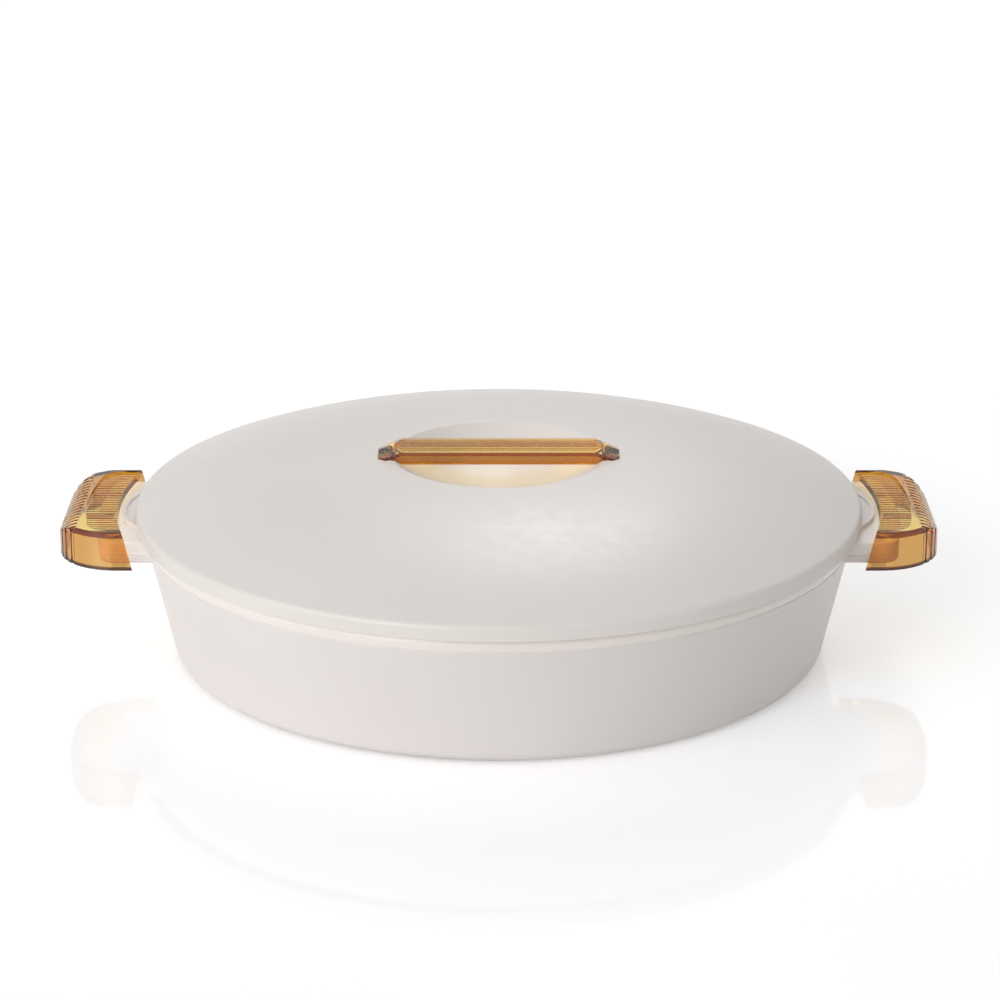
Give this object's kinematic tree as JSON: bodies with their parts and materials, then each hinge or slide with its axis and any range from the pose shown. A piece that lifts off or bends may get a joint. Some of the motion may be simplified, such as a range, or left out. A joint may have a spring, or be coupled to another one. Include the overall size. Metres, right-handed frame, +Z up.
{
  "type": "insulated casserole",
  "caption": "Low round insulated serving casserole: double-walled body with two amber grips, lift-out glazed dish and domed double-walled lid with a bar over a finger scoop.",
  "frame": {"origin": "centre of the body on the plane that the feet rest on", "axes": "+X towards the right handle, +Y towards the back, +Z up, the way the dish and the lid lift out"},
  "size_m": [0.3676, 0.3044, 0.0865],
  "materials": {
    "body_plastic": "satin moulded",
    "liner_plastic": "polished moulded",
    "foam": "cellular",
    "foot_rubber": "matt",
    "amber_plastic": "polished, see-through",
    "white_glaze": "gloss glaze",
    "lid_plastic": "satin moulded",
    "lid_liner_plastic": "satin moulded",
    "screw_steel": "zinc plated"
  },
  "bodies": {
    "base": {"outer_shell": "body_plastic", "inner_liner": "liner_plastic", "base_foam": "foam", "base_fill_plug": "body_plastic", "foot_pads": "foot_rubber", "right_handle_cover": "amber_plastic", "left_handle_cover": "amber_plastic"},
    "dish": {"dish": "white_glaze"},
    "lid": {"lid_top": "lid_plastic", "lid_liner": "lid_liner_plastic", "lid_foam": "foam", "lid_fill_plug": "lid_liner_plastic", "lid_handle": "amber_plastic", "lid_handle_screws": "screw_steel"}
  },
  "joints": [
    {"name": "dish_lift", "type": "slide", "parent": "base", "child": "dish", "axis": [0, 0, 1], "range_m": [0, 0.0616]},
    {"name": "lid_lift", "type": "slide", "parent": "dish", "child": "lid", "axis": [0, 0, 1], "range_m": [0, 0.0414]}
  ]
}
